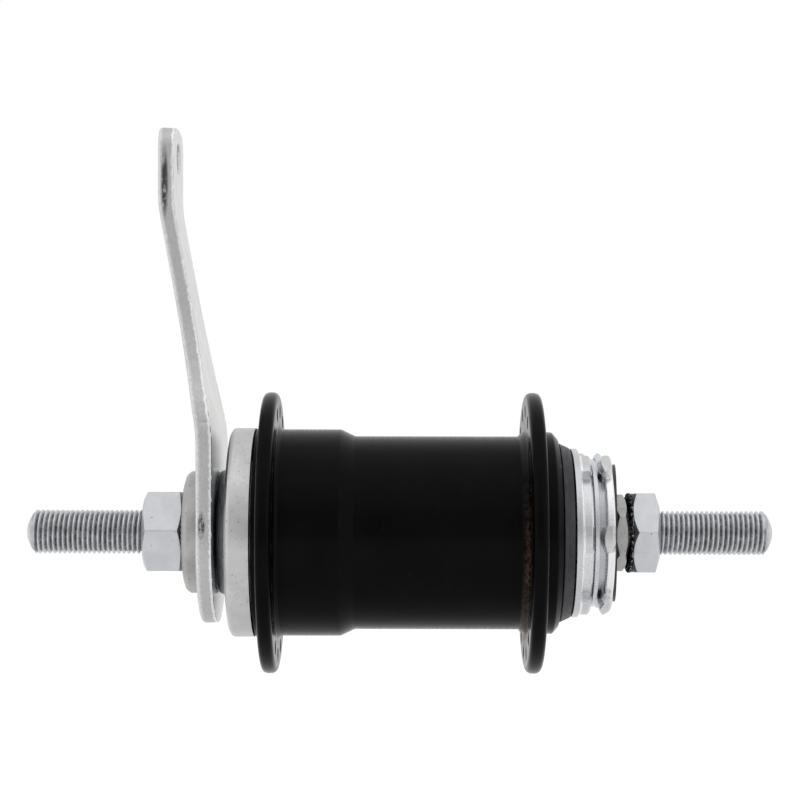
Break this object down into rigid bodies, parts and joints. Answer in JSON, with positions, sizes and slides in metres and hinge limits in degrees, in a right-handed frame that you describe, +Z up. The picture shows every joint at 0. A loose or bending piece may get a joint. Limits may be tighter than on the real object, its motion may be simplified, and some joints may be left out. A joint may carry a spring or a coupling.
{
  "type": "bicycle coaster brake hub",
  "caption": "Rear bicycle hub with a coaster brake: drilled flanged shell on a threaded axle, long brake arm, lugged sprocket driver, axle nuts.",
  "frame": {"origin": "on the axle's axis, midway between the faces that the frame's dropouts rest on", "axes": "+X along the axle towards the sprocket driver, +Z up along the brake arm, +Y to the back as seen with the driver at the right"},
  "size_m": [0.16, 0.0602, 0.1166],
  "materials": {
    "zinc_thread": "zinc-plated rolled thread",
    "zinc_nut": "bright zinc plate",
    "zinc_cast": "dull zinc plate, slightly pitted",
    "zinc_arm": "zinc-plated pressed plate with sheared edges",
    "zinc_driver": "zinc-plated forged steel",
    "blued_steel": "hardened and blued, ground track",
    "black_lacquer": "glossy black lacquer",
    "dark_cap": "dark phosphate, satin",
    "hard_steel": "hardened and ground",
    "ball_steel": "polished",
    "retainer_steel": "stamped, lightly oiled",
    "spring_steel": "plated spring steel",
    "shoe_bronze": "sintered bronze, oiled"
  },
  "bodies": {
    "axle_assembly": {"axle": "zinc_thread", "left_axle_nut": "zinc_nut", "right_axle_nut": "zinc_nut", "left_locknut": "zinc_cast", "right_locknut": "zinc_nut", "brake_arm": "zinc_arm", "brake_cone": "blued_steel", "left_dust_cap": "zinc_cast", "adjusting_cone": "blued_steel", "shoe_spring": "spring_steel"},
    "hub_shell_assembly": {"hub_shell": "black_lacquer", "left_ball_cup": "hard_steel", "right_ball_cup": "hard_steel", "brake_liner": "hard_steel", "drive_ring": "hard_steel"},
    "driver_assembly": {"driver": "zinc_driver", "right_dust_cap": "dark_cap", "sprocket_snap_ring": "spring_steel", "driver_end_cap": "dark_cap"},
    "clutch": {"clutch_cone": "hard_steel", "retarder_spring": "spring_steel"},
    "upper_shoe": {"upper_brake_shoe": "shoe_bronze"},
    "lower_shoe": {"lower_brake_shoe": "shoe_bronze"},
    "left_ball_ring": {"left_bearing_retainer": "retainer_steel", "left_bearing_ball_1": "ball_steel", "left_bearing_ball_2": "ball_steel", "left_bearing_ball_3": "ball_steel", "left_bearing_ball_4": "ball_steel", "left_bearing_ball_5": "ball_steel", "left_bearing_ball_6": "ball_steel", "left_bearing_ball_7": "ball_steel", "left_bearing_ball_8": "ball_steel", "left_bearing_ball_9": "ball_steel"},
    "right_ball_ring": {"right_bearing_retainer": "retainer_steel", "right_bearing_ball_1": "ball_steel", "right_bearing_ball_2": "ball_steel", "right_bearing_ball_3": "ball_steel", "right_bearing_ball_4": "ball_steel", "right_bearing_ball_5": "ball_steel", "right_bearing_ball_6": "ball_steel", "right_bearing_ball_7": "ball_steel", "right_bearing_ball_8": "ball_steel", "right_bearing_ball_9": "ball_steel", "right_bearing_ball_10": "ball_steel"},
    "cone_ball_ring": {"cone_bearing_retainer": "retainer_steel", "cone_bearing_ball_1": "ball_steel", "cone_bearing_ball_2": "ball_steel", "cone_bearing_ball_3": "ball_steel", "cone_bearing_ball_4": "ball_steel", "cone_bearing_ball_5": "ball_steel", "cone_bearing_ball_6": "ball_steel", "cone_bearing_ball_7": "ball_steel"}
  },
  "joints": [
    {"name": "shell_spin", "type": "hinge", "parent": "axle_assembly", "child": "hub_shell_assembly", "pos_m": [0, 0, 0], "axis": [1, 0, 0], "continuous": true},
    {"name": "driver_spin", "type": "hinge", "parent": "axle_assembly", "child": "driver_assembly", "pos_m": [0, 0, 0], "axis": [1, 0, 0], "continuous": true},
    {"name": "clutch_slide", "type": "slide", "parent": "driver_assembly", "child": "clutch", "axis": [-1, 0, 0], "range_m": [0, 0.002]},
    {"name": "upper_shoe_slide", "type": "slide", "parent": "axle_assembly", "child": "upper_shoe", "axis": [0, 0, 1], "range_m": [0, 0.0006]},
    {"name": "lower_shoe_slide", "type": "slide", "parent": "axle_assembly", "child": "lower_shoe", "axis": [0, 0, -1], "range_m": [0, 0.0006]},
    {"name": "left_balls_spin", "type": "hinge", "parent": "axle_assembly", "child": "left_ball_ring", "pos_m": [0, 0, 0], "axis": [1, 0, 0], "continuous": true},
    {"name": "right_balls_spin", "type": "hinge", "parent": "driver_assembly", "child": "right_ball_ring", "pos_m": [0, 0, 0], "axis": [1, 0, 0], "continuous": true},
    {"name": "cone_balls_spin", "type": "hinge", "parent": "axle_assembly", "child": "cone_ball_ring", "pos_m": [0, 0, 0], "axis": [1, 0, 0], "continuous": true}
  ],
  "couplings": [
    {"joint": "upper_shoe_slide", "follows": "clutch_slide", "ratio": 0.3},
    {"joint": "lower_shoe_slide", "follows": "clutch_slide", "ratio": 0.3},
    {"joint": "left_balls_spin", "follows": "shell_spin", "ratio": 0.58},
    {"joint": "right_balls_spin", "follows": "shell_spin", "ratio": 0.58},
    {"joint": "cone_balls_spin", "follows": "driver_spin", "ratio": 0.6}
  ]
}
